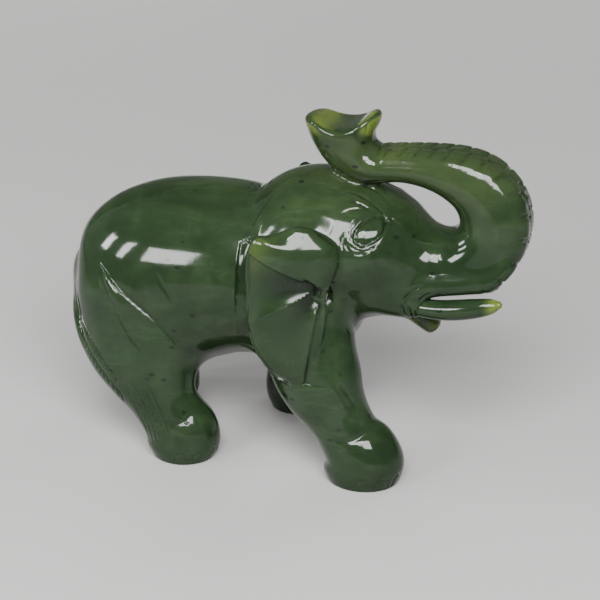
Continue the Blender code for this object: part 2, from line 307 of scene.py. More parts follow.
LIMBS = [
    # stations, direction across the path, how softly it melts into what is there, how far its ends bulge
    (TORSO, (0, 1, 0), 1.0, FLAT_CAP),
    (RIGHT_HIND_LEG, (0, 1, 0), 9.0, 16.0),
    (LEFT_HIND_LEG, (0, 1, 0), 9.0, 16.0),
    (RIGHT_FRONT_LEG, (0, 1, 0), 8.0, 16.0),
    (LEFT_FRONT_LEG, (0, 1, 0), 8.0, 16.0),
    (HEAD, (0, 1, 0), 3.0, 5.0),
    (JAW, (0, 1, 0), 5.0, FLAT_CAP),
    (TRUNK, (0, 1, 0), 3.5, FLAT_CAP),
    (LIP_CORNER, (0, 1, 0), 4.0, 3.0),
    (other_side(LIP_CORNER), (0, 1, 0), 4.0, 3.0),
    (UPPER_LIP, (0, 1, 0), 3.0, 3.0),
    (other_side(UPPER_LIP), (0, 1, 0), 3.0, 3.0),
    (RIGHT_EAR, EAR_FACE, 2.0, 2.5),
    (LEFT_EAR, LEFT_EAR_FACE, 2.0, 2.5),
    (TAIL, (0, 1, 0), 1.5, FLAT_CAP),
]

GRAIN = 1.0
MARGIN = 6.0
SOFTEN = 0.9
MOUTH_CENTRE = (60.0, 0.0, 68.0)
MOUTH_REACH = (15.0, 11.0, 2.6)
MOUTH_RISE = 0.12
MOUTH_EDGE = 1.0
SADDLE_CENTRE = (16.5, 0.0, 147.0)
SADDLE_RADIUS = 13.5
SADDLE_EDGE = 2.5
# the corners of the block that is carved, and of the part of it that the saddle reaches
STONE_BOX = ((-98, -46, -8), (96, 46, 147))
SADDLE_BOX = ((-5, -30, 118), (40, 30, 147))


class Block:
    """A box of evenly spaced field values, read anywhere inside it by cubic interpolation."""

    def __init__(self, low, high, grain):
        self.low = np.asarray(low, np.float32)
        self.grain = grain
        self.count = np.ceil((np.asarray(high) - self.low) / grain).astype(int) + 1
        self.values = np.full(self.count, FAR, np.float32)

    def axes(self):
        """The places of the samples along X, Y and Z."""
        return [self.low[i] + self.grain * np.arange(self.count[i], dtype=np.float32) for i in range(3)]

    def part(self, low, high):
        """The slices and the points of the grid between two corners."""
        first = np.clip(np.floor((np.asarray(low) - self.low) / self.grain).astype(int), 0, self.count - 1)
        last = np.clip(np.ceil((np.asarray(high) - self.low) / self.grain).astype(int) + 1, 1, self.count)
        cut = tuple(slice(a, b) for a, b in zip(first, last))
        lines = [axis[piece] for axis, piece in zip(self.axes(), cut)]
        grid = np.stack(np.meshgrid(*lines, indexing="ij"), -1)
        return cut, grid.reshape(-1, 3), grid.shape[:3]

    def soften(self, spread):
        """Three passes of a short bell-shaped average, one along each axis."""
        reach = int(math.ceil(2.5 * spread / self.grain))
        offsets = np.arange(-reach, reach + 1)
        weights = np.exp(-0.5 * (offsets * self.grain / spread) ** 2)
        weights /= weights.sum()
        for axis in range(3):
            padded = np.pad(self.values, [(reach, reach) if i == axis else (0, 0) for i in range(3)], "edge")
            length = self.values.shape[axis]
            shifted = (padded.take(range(reach + o, reach + o + length), axis) for o in offsets)
            self.values = sum(view * k for view, k in zip(shifted, weights)).astype(np.float32)

    def read(self, points):
        """The value and the slope at each point, by a cubic B-spline over the 64 nearest samples."""
        place = (points - self.low) / self.grain
        cell = np.clip(np.floor(place).astype(int), 1, self.count - 3)
        f = (place - cell).astype(np.float32)
        middle = ((3 * f**3 - 6 * f**2 + 4) / 6, (1 + 3 * f + 3 * f**2 - 3 * f**3) / 6)
        weight = [(1 - f) ** 3 / 6, *middle, f**3 / 6]
        slope = [-((1 - f) ** 2) / 2, (3 * f**2 - 4 * f) / 2, (1 + 2 * f - 3 * f**2) / 2, f**2 / 2]
        value = np.zeros(len(points), np.float32)
        steep = np.zeros((len(points), 3), np.float32)
        flat = self.values.ravel()
        stride = np.array([self.count[1] * self.count[2], self.count[2], 1])
        base = cell @ stride
        for i in range(4):
            for j in range(4):
                wij = weight[i][:, 0] * weight[j][:, 1]
                sij = slope[i][:, 0] * weight[j][:, 1]
                tij = weight[i][:, 0] * slope[j][:, 1]
                for k in range(4):
                    sample = flat[base + (i - 1) * stride[0] + (j - 1) * stride[1] + (k - 1)]
                    value += wij * weight[k][:, 2] * sample
                    steep[:, 0] += sij * weight[k][:, 2] * sample
                    steep[:, 1] += tij * weight[k][:, 2] * sample
                    steep[:, 2] += wij * slope[k][:, 2] * sample
        return value, steep / self.grain


def rough_stone(grain):
    """The limbs, melted together and hollowed at the mouth and the trunk's end."""
    stone = Block(*STONE_BOX, grain)
    for stations, across, melt, cap in LIMBS:
        s = np.asarray(stations, float)
        reach = s[:, 3:].max() + MARGIN + melt + cap
        cut, points, shape = stone.part(s[:, :3].min(0) - reach, s[:, :3].max(0) + reach)
        limb = chain(points, stations, across, cap).reshape(shape)
        stone.values[cut] = soft_min(stone.values[cut], limb, melt)
    stone.soften(SOFTEN)
    edge = max(MOUTH_REACH) + 4
    cut, points, shape = stone.part(np.subtract(MOUTH_CENTRE, edge), np.add(MOUTH_CENTRE, edge))
    hollow = ball(points, MOUTH_CENTRE, MOUTH_REACH, MOUTH_RISE).reshape(shape)
    stone.values[cut] = soft_max(stone.values[cut], -hollow, MOUTH_EDGE)
    cut, points, shape = stone.part(*SADDLE_BOX)
    saddle = np.hypot(points[:, 0] - SADDLE_CENTRE[0], points[:, 2] - SADDLE_CENTRE[2]) - SADDLE_RADIUS
    stone.values[cut] = soft_max(stone.values[cut], -saddle.reshape(shape), SADDLE_EDGE)
    return stone


def net(values, low, grain):
    """A surface net. Each cell that the skin crosses gets a point, at the mean of where its edges are
    crossed, and each crossed grid edge gets a quad through the four cells round it."""
    inside = values < 0
    corners = [(i, j, k) for i in (0, 1) for j in (0, 1) for k in (0, 1)]
    n = np.array(values.shape) - 1
    total = sum(inside[i : n[0] + i, j : n[1] + j, k : n[2] + k].astype(np.int8) for i, j, k in corners)
    cells = np.argwhere((total > 0) & (total < 8))
    index = np.full(n, -1, np.int64)
    index[tuple(cells.T)] = np.arange(len(cells))
    sums = np.zeros((len(cells), 3))
    hits = np.zeros(len(cells))
    for a in corners:
        for axis in range(3):
            if a[axis]:
                continue
            b = tuple(1 if i == axis else a[i] for i in range(3))
            va = values[tuple((cells + a).T)]
            vb = values[tuple((cells + b).T)]
            crossed = (va < 0) != (vb < 0)
            t = np.where(crossed, va / np.where(crossed, va - vb, 1), 0)
            spot = np.array(a, float) + t[:, None] * (np.array(b) - np.array(a))
            sums += spot * crossed[:, None]
            hits += crossed
    points = (cells + sums / hits[:, None]) * grain + low
    quads = []
    for axis in range(3):
        u, v = (axis + 1) % 3, (axis + 2) % 3
        one = [slice(None)] * 3
        two = [slice(None)] * 3
        one[axis], two[axis] = slice(0, -1), slice(1, None)
        first, second = inside[tuple(one)], inside[tuple(two)]
        edges = np.argwhere(first != second)
        edges = edges[(edges[:, u] > 0) & (edges[:, v] > 0)]
        edges = edges[(edges[:, u] < n[u]) & (edges[:, v] < n[v])]
        leaving = first[tuple(edges.T)]
        back = np.zeros(3, int)
        ring = []
        for du, dv in ((0, 0), (-1, 0), (-1, -1), (0, -1)):
            step = back.copy()
            step[u], step[v] = du, dv
            ring.append(index[tuple((edges + step).T)])
        ring = np.stack(ring, 1)
        ring[~leaving] = ring[~leaving][:, ::-1]
        quads.append(ring)
    return points, np.vstack(quads)


# ---------------------------------------------------------------------------------------------------
# Cutting tools: strokes laid on the skin. A stroke is drawn flat, in the side view (x, z) or from above
# (x, y), and is then dropped onto the stone.
# ---------------------------------------------------------------------------------------------------
LOOKS = {
    # the view's own axes, the axis that it looks along, and where it starts and stops on that axis
    "right": ((0, 2), 1, -46, 4),
    "left": ((0, 2), 1, 46, -4),
    "above": ((0, 1), 2, 145, 40),
}


def drop(stone, drawn, look, steps=5):
    """Carries a flat curve onto the stone: each point slides along the view until it meets the skin."""
    plane, depth, start, stop = LOOKS[look]
    flat = through(drawn, steps)
    travel = np.linspace(start, stop, 160)
    probe = np.zeros((len(flat), len(travel), 3), np.float32)
    probe[..., plane[0]] = flat[:, :1]
    probe[..., plane[1]] = flat[:, 1:2]
    probe[..., depth] = travel
    value = stone.read(probe.reshape(-1, 3))[0].reshape(len(flat), len(travel))
    meets = (value < 0).any(1)
    at = np.maximum((value < 0).argmax(1), 1)
    rows = np.arange(len(flat))
    before, after = value[rows, at - 1], value[rows, at]
    part = before / np.where(before == after, 1, before - after)
    spot = probe[rows, at].copy()
    spot[:, depth] = travel[at - 1] + part * (travel[at] - travel[at - 1])
    return spot[meets]


def across_path(points, normals, path):
    """For each point: how far it lies from the path across the skin, on which side, and how far along."""
    nearest = np.full(len(points), FAR, np.float32)
    side = np.zeros(len(points), np.float32)
    place = np.zeros(len(points), np.float32)
    lengths = np.linalg.norm(np.diff(path, axis=0), axis=1)
    ends = np.concatenate([[0], np.cumsum(lengths)]) / max(lengths.sum(), 1e-6)
    for i, (start, end) in enumerate(zip(path, path[1:])):
        axis = end - start
        if lengths[i] < 1e-4:
            continue
        rel = points - start
        t = np.clip(rel @ axis / lengths[i] ** 2, 0, 1)
        off = rel - t[:, None] * axis
        off = off - (off * normals).sum(1)[:, None] * normals
        apart = np.linalg.norm(off, axis=1)
        closer = apart < nearest
        nearest = np.where(closer, apart, nearest)
        turned = (np.cross(axis, off) * normals).sum(1)
        side = np.where(closer, np.sign(turned), side)
        place = np.where(closer, ends[i] + t * (ends[i + 1] - ends[i]), place)
    return nearest, side, place


def ease(x):
    """0 below 0, 1 above 1, and a smooth rise between."""
    x = np.clip(x, 0, 1)
    return x * x * (3 - 2 * x)


class Stroke:
    """One cut or ridge. `height` is in mm, and below zero it cuts into the stone.

    groove: a round-bottomed line of half width `width`.
    fold: a sharp lip. The stone falls away by `height` on the path's left and recovers over `width`.
    """

    def __init__(self, path, height, width, shape="groove", taper=0.25):
        self.path = np.asarray(path, np.float32)
        self.height = height
        self.width = width
        self.shape = shape
        self.taper = taper

    def lay(self, points, normals, relief):
        """Adds the stroke's height to `relief` at every point that it reaches."""
        if len(self.path) < 2:
            return
        reach = self.width * (4.0 if self.shape == "fold" else 2.2)
        low, high = self.path.min(0) - reach, self.path.max(0) + reach
        near = np.flatnonzero(((points > low) & (points < high)).all(1))
        if not len(near):
            return
        apart, side, place = across_path(points[near], normals[near], self.path)
        fade = ease(place / self.taper) * ease((1 - place) / self.taper) if self.taper else 1.0
        if self.shape == "fold":
            fall = np.exp(-apart / self.width) * ease(1 - apart / reach)
            lip = ease(0.5 + side * apart / 0.8)
            relief[near] += self.height * fade * fall * lip
        else:
            relief[near] += self.height * fade * np.exp(-((apart / self.width) ** 2))


# Lines that both sides of the elephant share, drawn in the side view: points, height, width, shape, taper.
SIDE_LINES = [
    # haunch: the fold in front of the thigh, the fine line down the thigh and the faint one on the flank
    ([(-72, 78.5), (-61, 69.5), (-49.5, 61), (-43.5, 54.5), (-38, 46.5)], -0.85, 2.0, "fold", 0.12),
    ([(-71.5, 77.5), (-67.5, 70.5), (-63.5, 62.5), (-60, 56.5), (-55.5, 49.5), (-49.5, 44)],
     -0.4, 0.7, "groove", 0.2),
    ([(-49, 82), (-44.5, 75), (-40.5, 69), (-38, 62), (-37.5, 53)], -0.4, 0.7, "groove", 0.25),
    # the ridge between them at the top of the thigh
    ([(-71.5, 78), (-66.5, 71.5), (-61.5, 65), (-57, 58)], 0.9, 2.6, "groove", 0.35),
    # the neck's edge behind the head
    ([(-4.5, 109), (-8.5, 102), (-12, 95), (-13.5, 88), (-13.5, 80)], 0.7, 1.6, "groove", 0.3),
    # brow wrinkles
    ([(19.5, 111.3), (25, 110.2), (30, 108), (35.5, 104.6), (39, 100.6)], -0.3, 0.5, "groove", 0.3),
    ([(22.5, 109), (27.5, 107.6), (32, 105.4)], -0.4, 0.5, "groove", 0.3),
    ([(22.5, 114.2), (31, 110), (40, 104.6)], -0.35, 0.7, "groove", 0.4),
    ([(20.5, 104.8), (24, 106.4), (28.5, 106.6)], -0.35, 0.5, "groove", 0.3),
    # the fold at the eye's front corner
    ([(36.4, 101.4), (38.2, 103.0), (39.4, 102.0), (38.6, 100.2)], -0.4, 0.4, "groove", 0.2),
    # cheek creases that run down to the mouth
    ([(52, 80.5), (48.5, 77), (45.8, 74), (44.4, 71)], -0.7, 0.8, "groove", 0.3),
    ([(55.5, 77.6), (52, 74.6), (49.8, 72)], -0.45, 0.6, "groove", 0.3),
    # skin folds at the corner of the mouth
    ([(43.6, 72), (44.6, 68), (45.6, 64)], -0.9, 0.7, "groove", 0.2),
    ([(46.0, 72), (47.2, 67.5), (48.2, 63), (49, 60)], -1.0, 0.7, "groove", 0.2),
    ([(48.6, 71), (49.8, 67), (50.8, 63), (51.6, 60)], -0.9, 0.6, "groove", 0.2),
    # the facet on the side of the trunk's end
    ([(24.5, 136.0), (24.3, 132.5), (27.1, 128.6), (31, 126)], -0.5, 0.9, "groove", 0.3),
    ([(27.5, 136.5), (27.2, 132.5)], -0.35, 0.6, "groove", 0.3),
    # little strokes below the eye
    ([(27.0, 86.2), (29.8, 85.8)], -0.35, 0.4, "groove", 0.3),
    ([(32.6, 85.6), (33.0, 83.9)], -0.35, 0.4, "groove", 0.3),
]
# Lines of the right side's legs, in the side view.
RIGHT_LINES = [
    # the front leg: a crease on its front, a soft band behind it, the ankle
    ([(23.7, 44), (27.5, 37.5), (31, 30)], -0.5, 0.7, "groove", 0.3),
    ([(20.5, 44), (24.5, 37), (28, 29)], 0.35, 1.1, "groove", 0.3),
    ([(2.9, 40.5), (12.6, 34.4), (21, 27), (26, 20)], 0.6, 2.0, "groove", 0.3),
    ([(36, 24.5), (32, 21.5), (26, 20.3), (20, 21.5)], -0.5, 1.1, "groove", 0.3),
    # the hind leg: small strokes above the foot
    ([(-39, 20.5), (-36.8, 19.4)], -0.35, 0.4, "groove", 0.3),
    ([(-36.8, 18.4), (-35, 17.2)], -0.35, 0.4, "groove", 0.3),
    ([(-33.5, 21), (-38, 18), (-45, 17.5), (-52, 19)], -0.4, 1.1, "groove", 0.3),
]
# Hair: the line that its roots follow, the way each hair runs, and how many there are.
RIGHT_HAIR = [
    ([(-87.6, 63), (-86.6, 56), (-83.5, 49.5), (-78, 43), (-71.5, 36.5), (-64, 29)], (2.4, -7.5), 20),
    ([(-84.6, 62), (-82.5, 55), (-78.5, 49.5), (-73, 44), (-66.5, 37)], (2.8, -7.5), 16),
]
RIGHT_LONG_HAIR = [(-63.5, 37), (-57.5, 25.5), (-53, 14), (-51, 5)]
LONG_HAIRS = 6
LONG_HAIR_PITCH = (2.1, 0.2)
FEET = [
    # middle of the sole, the way the toes point (radians from +X), toenails
    (31.8, -23.5, -0.25, 5),
    (-40.6, -23.0, -0.25, 5),
    (-8.5, 29.2, 0.25, 5),
    (-64.0, 25.0, 0.25, 5),
]
NAIL_SPREAD = 0.55
NAIL_HALF = 0.21
NAIL_HEIGHT = 5.4
NECK_TICKS = (-20.5, -17.5, -14.5, -11.5)

EYE_MIDDLE = (32.0, 99.6)
EYE_HALF = (5.2, 3.6)
EYE_TILT = math.radians(28)
EYE_REACH = (14, 12)
LID_LINES = (1.22, 1.42, 1.63, 1.85)
EAR_HEART = (17.5, 81.0)
EAR_DEEPEST = 4.6
EAR_TOP_FOLD = math.radians(153)
EAR_MIDDLE_PLEAT = math.radians(208.5)
EAR_FRONT_PLEAT = math.radians(260.5)
CEMENT_GAP = 0.3
LEFT_TUSK = other_side(RIGHT_TUSK, LEFT_TUSK_SET_BACK)
TUSK_BOX = np.array([(38, -22, 62), (70, 22, 80)], np.float32)
STRIP_STARTS = 3
STRIP_ENDS = 11
RING_PITCH = 5.2


def beside(points, stations, steps=4):
    """Where points lie beside a limb: how far along its path, how far outwards, and its half height there."""
    fine = through(stations, steps).astype(np.float32)
    runs = np.linalg.norm(np.diff(fine[:, :3], axis=0), axis=1)
    starts = np.concatenate([[0], np.cumsum(runs)])
    nearest = np.full(len(points), FAR * FAR, np.float32)
    along, outward, high = (np.zeros(len(points), np.float32) for _ in range(3))
    for i, (start, end) in enumerate(zip(fine, fine[1:])):
        axis = (end - start)[:3]
        up = unit(np.cross((0, 1, 0), axis))
        rel = points - start[:3]
        t = np.clip(rel @ axis / (axis @ axis), 0, 1)
        apart = ((rel - t[:, None] * axis) ** 2).sum(1)
        closer = apart < nearest
        nearest = np.where(closer, apart, nearest)
        along = np.where(closer, starts[i] + t * runs[i], along)
        outward = np.where(closer, rel @ up, outward)
        high = np.where(closer, start[3] + t * (end[3] - start[3]), high)
    return along, outward, high, starts[::steps]


def around_foot(stone, middle, turns, heights):
    """Points on a foot's side, found by walking outwards from its middle at each turn and height."""
    reach = np.linspace(6, 24, 90)
    probe = np.zeros((len(turns), len(reach), 3), np.float32)
    probe[..., 0] = middle[0] + np.cos(turns)[:, None] * reach
    probe[..., 1] = middle[1] + np.sin(turns)[:, None] * reach
    probe[..., 2] = np.asarray(heights)[:, None]
    outside = stone.read(probe.reshape(-1, 3))[0].reshape(len(turns), len(reach)) > 0
    return probe[np.arange(len(turns)), outside.argmax(1)]


class Carving:
    """Everything that is cut into the rough stone after its limbs are melted together."""

    def __init__(self, stone):
        self.stone = stone
        self.strokes = []
        for look in ("right", "left"):
            for drawn, height, width, shape, taper in SIDE_LINES:
                path = drop(stone, drawn, look)
                path = path if look == "right" else path[::-1]
                self.strokes.append(Stroke(path, height, width, shape, taper))
        for drawn, height, width, shape, taper in RIGHT_LINES:
            self.strokes.append(Stroke(drop(stone, drawn, "right"), height, width, shape, taper))
        self.hair()
        self.toenails()
        for x in NECK_TICKS:
            self.strokes.append(Stroke(drop(stone, [(x, -5), (x + 1.2, 0), (x, 5)], "above"), -0.5, 0.5))

    def hair(self):
        """Short slanting hairs on the tail, and long ones down the back of the hind leg."""
        for roots, run, count in RIGHT_HAIR:
            line = through(roots, 40)
            for i in range(count):
                start = line[int((i + 0.5) / count * (len(line) - 1))]
                bend = (start[0] + 0.62 * run[0] + 0.5, start[1] + 0.5 * run[1])
                drawn = [tuple(start), bend, (start[0] + run[0], start[1] + run[1])]
                self.strokes.append(Stroke(drop(self.stone, drawn, "right"), -0.8, 0.55, "groove", 0.3))
        for i in range(LONG_HAIRS):
            drawn = [(x + i * LONG_HAIR_PITCH[0], z + i * LONG_HAIR_PITCH[1]) for x, z in RIGHT_LONG_HAIR]
            self.strokes.append(Stroke(drop(self.stone, drawn, "right"), -0.5, 0.55, "groove", 0.3))

    def toenails(self):
        """An arch cut round each nail."""
        for x, y, facing, count in FEET:
            for i in range(count):
                turn = facing + (i - (count - 1) / 2) * NAIL_SPREAD
                share = np.linspace(-1, 1, 11)
                turns = turn + share * NAIL_HALF
                heights = 0.4 + (NAIL_HEIGHT - 0.4) * np.sqrt(np.clip(1 - share**2, 0, 1))
                path = around_foot(self.stone, (x, y), turns, heights)
                self.strokes.append(Stroke(path, -0.42, 0.5, "groove", 0.08))

    def eye(self, points, relief):
        """A domed eyeball inside a groove, with lid lines that repeat its outline."""
        close = np.abs(points[:, 0] - EYE_MIDDLE[0]) < EYE_REACH[0]
        near = np.flatnonzero(close & (np.abs(points[:, 2] - EYE_MIDDLE[1]) < EYE_REACH[1]))
        dx = points[near, 0] - EYE_MIDDLE[0]
        dz = points[near, 2] - EYE_MIDDLE[1]
        c, s = math.cos(EYE_TILT), math.sin(EYE_TILT)
        u, v = (dx * c + dz * s) / EYE_HALF[0], (dz * c - dx * s) / EYE_HALF[1]
        ring = np.hypot(u, v)
        found = 0.9 * np.sqrt(np.clip(1 - ring**2, 0, 1)) - 0.35
        found = np.where(ring < 1, found, -0.35 * np.exp(-((ring - 1) * 5 / 0.8) ** 2))
        back = ease(0.55 - u)
        found -= 0.6 * np.exp(-(((ring - 1.0) * 5.2 / 0.5) ** 2))
        bearing = np.arctan2(v, u)
        for i, turn in enumerate(LID_LINES):
            broken = 0.5 + 0.5 * np.sin(5 * bearing + 2.1 * i)
            wander = turn + 0.05 * np.sin(3 * bearing + 1.7 * i)
            found -= 0.3 * back * broken * np.exp(-(((ring - wander) * 5.2 / 0.42) ** 2))
        relief[near] += found * ease((EYE_REACH[0] - np.abs(dx)) / 4)

    def ears(self, points, normals, relief):
        """Pleats that fan out from a deep heart, under a rolled top rim."""
        for side, back, up in ((-1, 0.0, 0.0), (1, LEFT_EAR_SET_BACK, LEFT_EAR_RAISED)):
            outer = (points[:, 1] * side > 24) & (normals[:, 1] * side > 0.25) & (points[:, 2] > 42)
            ahead = (points[:, 0] < 26) & (points[:, 0] > -16 - back)
            near = np.flatnonzero(outer & ahead & (points[:, 2] < 105))
            dx = points[near, 0] + back - EAR_HEART[0]
            dz = points[near, 2] - up - EAR_HEART[1]
            r = np.hypot(dx, dz)
            turn = np.arctan2(dz, dx) % (2 * np.pi)
            found = np.zeros(len(near), np.float32)
            depth = 2.3 * ease(r / 7) * np.exp(-np.maximum(r - 8, 0) / 26)
            for first, last in ((EAR_TOP_FOLD, EAR_MIDDLE_PLEAT), (EAR_MIDDLE_PLEAT, EAR_FRONT_PLEAT)):
                share = np.clip((turn - first) / (last - first), 0, 1)
                found -= depth * np.clip(np.sin(np.pi * share), 0, 1) ** 0.8
            below = (turn - EAR_TOP_FOLD) * r
            step = (0.9 + 2.4 * np.exp(-r / 10)) * ease(below / 0.9) * np.exp(-np.maximum(below, 0) / 6)
            found -= np.where(below > 0, step * ease((4.9 - turn) / 0.3), 0)
            past = (turn - EAR_FRONT_PLEAT) * r
            edge = ease(past / 0.8) * np.exp(-np.maximum(past - 1, 0) / 2.2) * ease(r / 4)
            found -= np.where(past > 0, 1.1 * edge, 0)
            found -= 5.5 * np.exp(-((r / 5.5) ** 2)) * ease((turn - 2.3) / 0.4) * ease((5.2 - turn) / 0.4)
            found = EAR_DEEPEST * np.tanh(found / EAR_DEEPEST)
            relief[near] += found * ease((normals[near, 1] * side - 0.25) / 0.3)

    def trunk(self, points, swell, cap, relief):
        """The flat outer strip, its sharp edges, and the two rows of plates cut across it."""
        near = np.flatnonzero((points[:, 0] > 18) & (points[:, 2] > 70) & (np.abs(points[:, 1]) < 20))
        p = points[near]
        along, outward, high, starts = beside(p, TRUNK)
        first, last = starts[STRIP_STARTS], starts[STRIP_ENDS]
        fade = ease((along - first + 2) / 7) * ease((last + 1 - along) / 4)
        share = np.clip(outward / high, 0, 1.3)
        swell[near] += 0.9 * fade * ease((share - 0.35) / 0.5)
        cap[near] = outward - high * (0.98 + 0.6 * (1 - fade))
        on_strip = ease((share - 0.72) / 0.12) * fade
        row = np.where(p[:, 1] > -1.0, 0.5, 0.0)
        phase = (along / RING_PITCH + row + 0.05 * p[:, 1]) % 1 - 0.5
        cut = np.exp(-((phase * RING_PITCH / 0.45) ** 2))
        relief[near] -= 0.6 * cut * on_strip
        seam = np.exp(-(((p[:, 1] + 1.0) / 0.4) ** 2)) * ease((first + 62 - along) / 6)
        relief[near] -= 0.3 * seam * on_strip

    def skin(self, points):
        """The carved stone's field and the rough stone's slope at each point."""
        value, slope = self.stone.read(points)
        normals = unit(slope)
        relief, swell = np.zeros((2, len(points)), np.float32)
        cap = np.full(len(points), -FAR, np.float32)
        self.trunk(points, swell, cap, relief)
        self.eye(points, relief)
        self.ears(points, normals, relief)
        for stroke in self.strokes:
            stroke.lay(points, normals, relief)
        field = soft_max(value - swell, cap, 0.5) - relief
        near = np.flatnonzero(((points > TUSK_BOX[0]) & (points < TUSK_BOX[1])).all(1))
        pegs = np.minimum(chain(points[near], RIGHT_TUSK), chain(points[near], LEFT_TUSK))
        field[near] = soft_max(field[near], CEMENT_GAP - pegs, 0.2)
        return soft_max(field, -points[:, 2], 0.5), normals, relief


def finer(stone, grain):
    """The same stone on a finer grid, exact near the skin. Elsewhere only the sign matters."""
    fine = Block(stone.low + 2 * stone.grain, stone.low + (stone.count - 3) * stone.grain, grain)
    values = stone.values
    for axis in range(3):
        place = (fine.low[axis] + grain * np.arange(fine.count[axis]) - stone.low[axis]) / stone.grain
        cell = np.clip(np.floor(place).astype(int), 0, values.shape[axis] - 2)
        part = (place - cell).astype(np.float32)
        part = part.reshape([-1 if i == axis else 1 for i in range(3)])
        values = values.take(cell, axis) * (1 - part) + values.take(cell + 1, axis) * part
    near = np.flatnonzero(np.abs(values.ravel()) < 1.2 * grain + 0.4)
    index = np.stack(np.unravel_index(near, values.shape), 1)
    points = (fine.low + index * grain).astype(np.float32)
    values.ravel()[near] = stone.read(points)[0]
    heights = fine.low[2] + grain * np.arange(fine.count[2], dtype=np.float32)
    fine.values = np.maximum(values, -heights[None, None, :])
    return fine


FINE_GRAIN = 0.66
MOST_TRIANGLES = 188_000
FIT_ROUNDS = 3
# a cut this deep counts as fully cut in the finish: roughest, and darkest with painted shade
DEEP_CUT = 2.4


def onto_skin(carving, points, rounds):
    """Slides points along the slope until the field is zero there."""
    for _ in range(rounds):
        field, normals, _ = carving.skin(points)
        points = points - normals * np.clip(field, -1.2, 1.2)[:, None]
    return points


def shading_normals(carving, points, reach=0.22):
    """The carved field's own slope, from the difference between two points on each axis."""
    slope = np.empty_like(points)
    for axis in range(3):
        step = np.zeros(3, np.float32)
        step[axis] = reach
        slope[:, axis] = carving.skin(points + step)[0] - carving.skin(points - step)[0]
    return unit(slope)


# ---------------------------------------------------------------------------------------------------
# Meshes
# ---------------------------------------------------------------------------------------------------
def polygon_mesh(name, points, faces):
    """A mesh in metres, in the row frame, from points in the design's millimetres and equal-sided faces."""
    mesh = bpy.data.meshes.new(name)
    points = (np.asarray(points) + (SLIDE_X, 0, 0)) * MM
    mesh.from_pydata(points.tolist(), [], faces.tolist())
    mesh.update()
    mesh.shade_smooth()
    return mesh


def mesh_arrays(mesh):
    """The mesh's points in the design's millimetres."""
    points = np.empty(len(mesh.vertices) * 3, np.float32)
    mesh.vertices.foreach_get("co", points)
    points = points.reshape(-1, 3) / MM - (SLIDE_X, 0, 0)
    return points.astype(np.float32)


def thinned(mesh, most):
    """The same surface with about `most` triangles, kept where it curves most."""
    mesh.calc_loop_triangles()
    share = most / len(mesh.loop_triangles)
    if share >= 1:
        return mesh
    holder = bpy.data.objects.new("thinning", mesh)
    bpy.context.scene.collection.objects.link(holder)
    decimate = holder.modifiers.new("thin", "DECIMATE")
    decimate.ratio = share
    graph = bpy.context.evaluated_depsgraph_get()
    result = bpy.data.meshes.new_from_object(holder.evaluated_get(graph))
    bpy.data.objects.remove(holder)
    return result


def carve_body(grain, fine_grain):
    """The whole jade body as one mesh, with its shading normals, its thinness, from which the finish paints a
    glow, and its cut depth, from which it paints shade.
    """
    carving = Carving(rough_stone(grain))
    fine = finer(carving.stone, fine_grain)
    points, quads = net(fine.values, fine.low, fine.grain)
    points = onto_skin(carving, points.astype(np.float32), FIT_ROUNDS)
    mesh = thinned(polygon_mesh("carved_body_skin", points, quads), MOST_TRIANGLES)
    points = onto_skin(carving, mesh_arrays(mesh), 2)
    mesh.vertices.foreach_set("co", ((points + (SLIDE_X, 0, 0)) * MM).astype(np.float32).ravel())
    normals = shading_normals(carving, points)
    mesh.update()
    mesh.shade_smooth()
    mesh.normals_split_custom_set_from_vertices(normals.tolist())
    _, slope, relief = carving.skin(points)
    # thinness: how soon light that enters the stone comes out again on the other side. The finish paints a
    # glow from it.
    thin = sum(ease((carving.stone.read(points - slope * deep)[0] + 3) / 5) for deep in (6, 10, 15)) / 3
    # cut: how deep the carving goes there, which the finish paints as shade
    for name, values in (("thin", thin), ("cut", np.clip(-relief / DEEP_CUT, 0, 1))):
        mesh.attributes.new(name, "FLOAT", "POINT").data.foreach_set("value", values.astype(np.float32))
    return mesh


TIP_REACH = 0.8


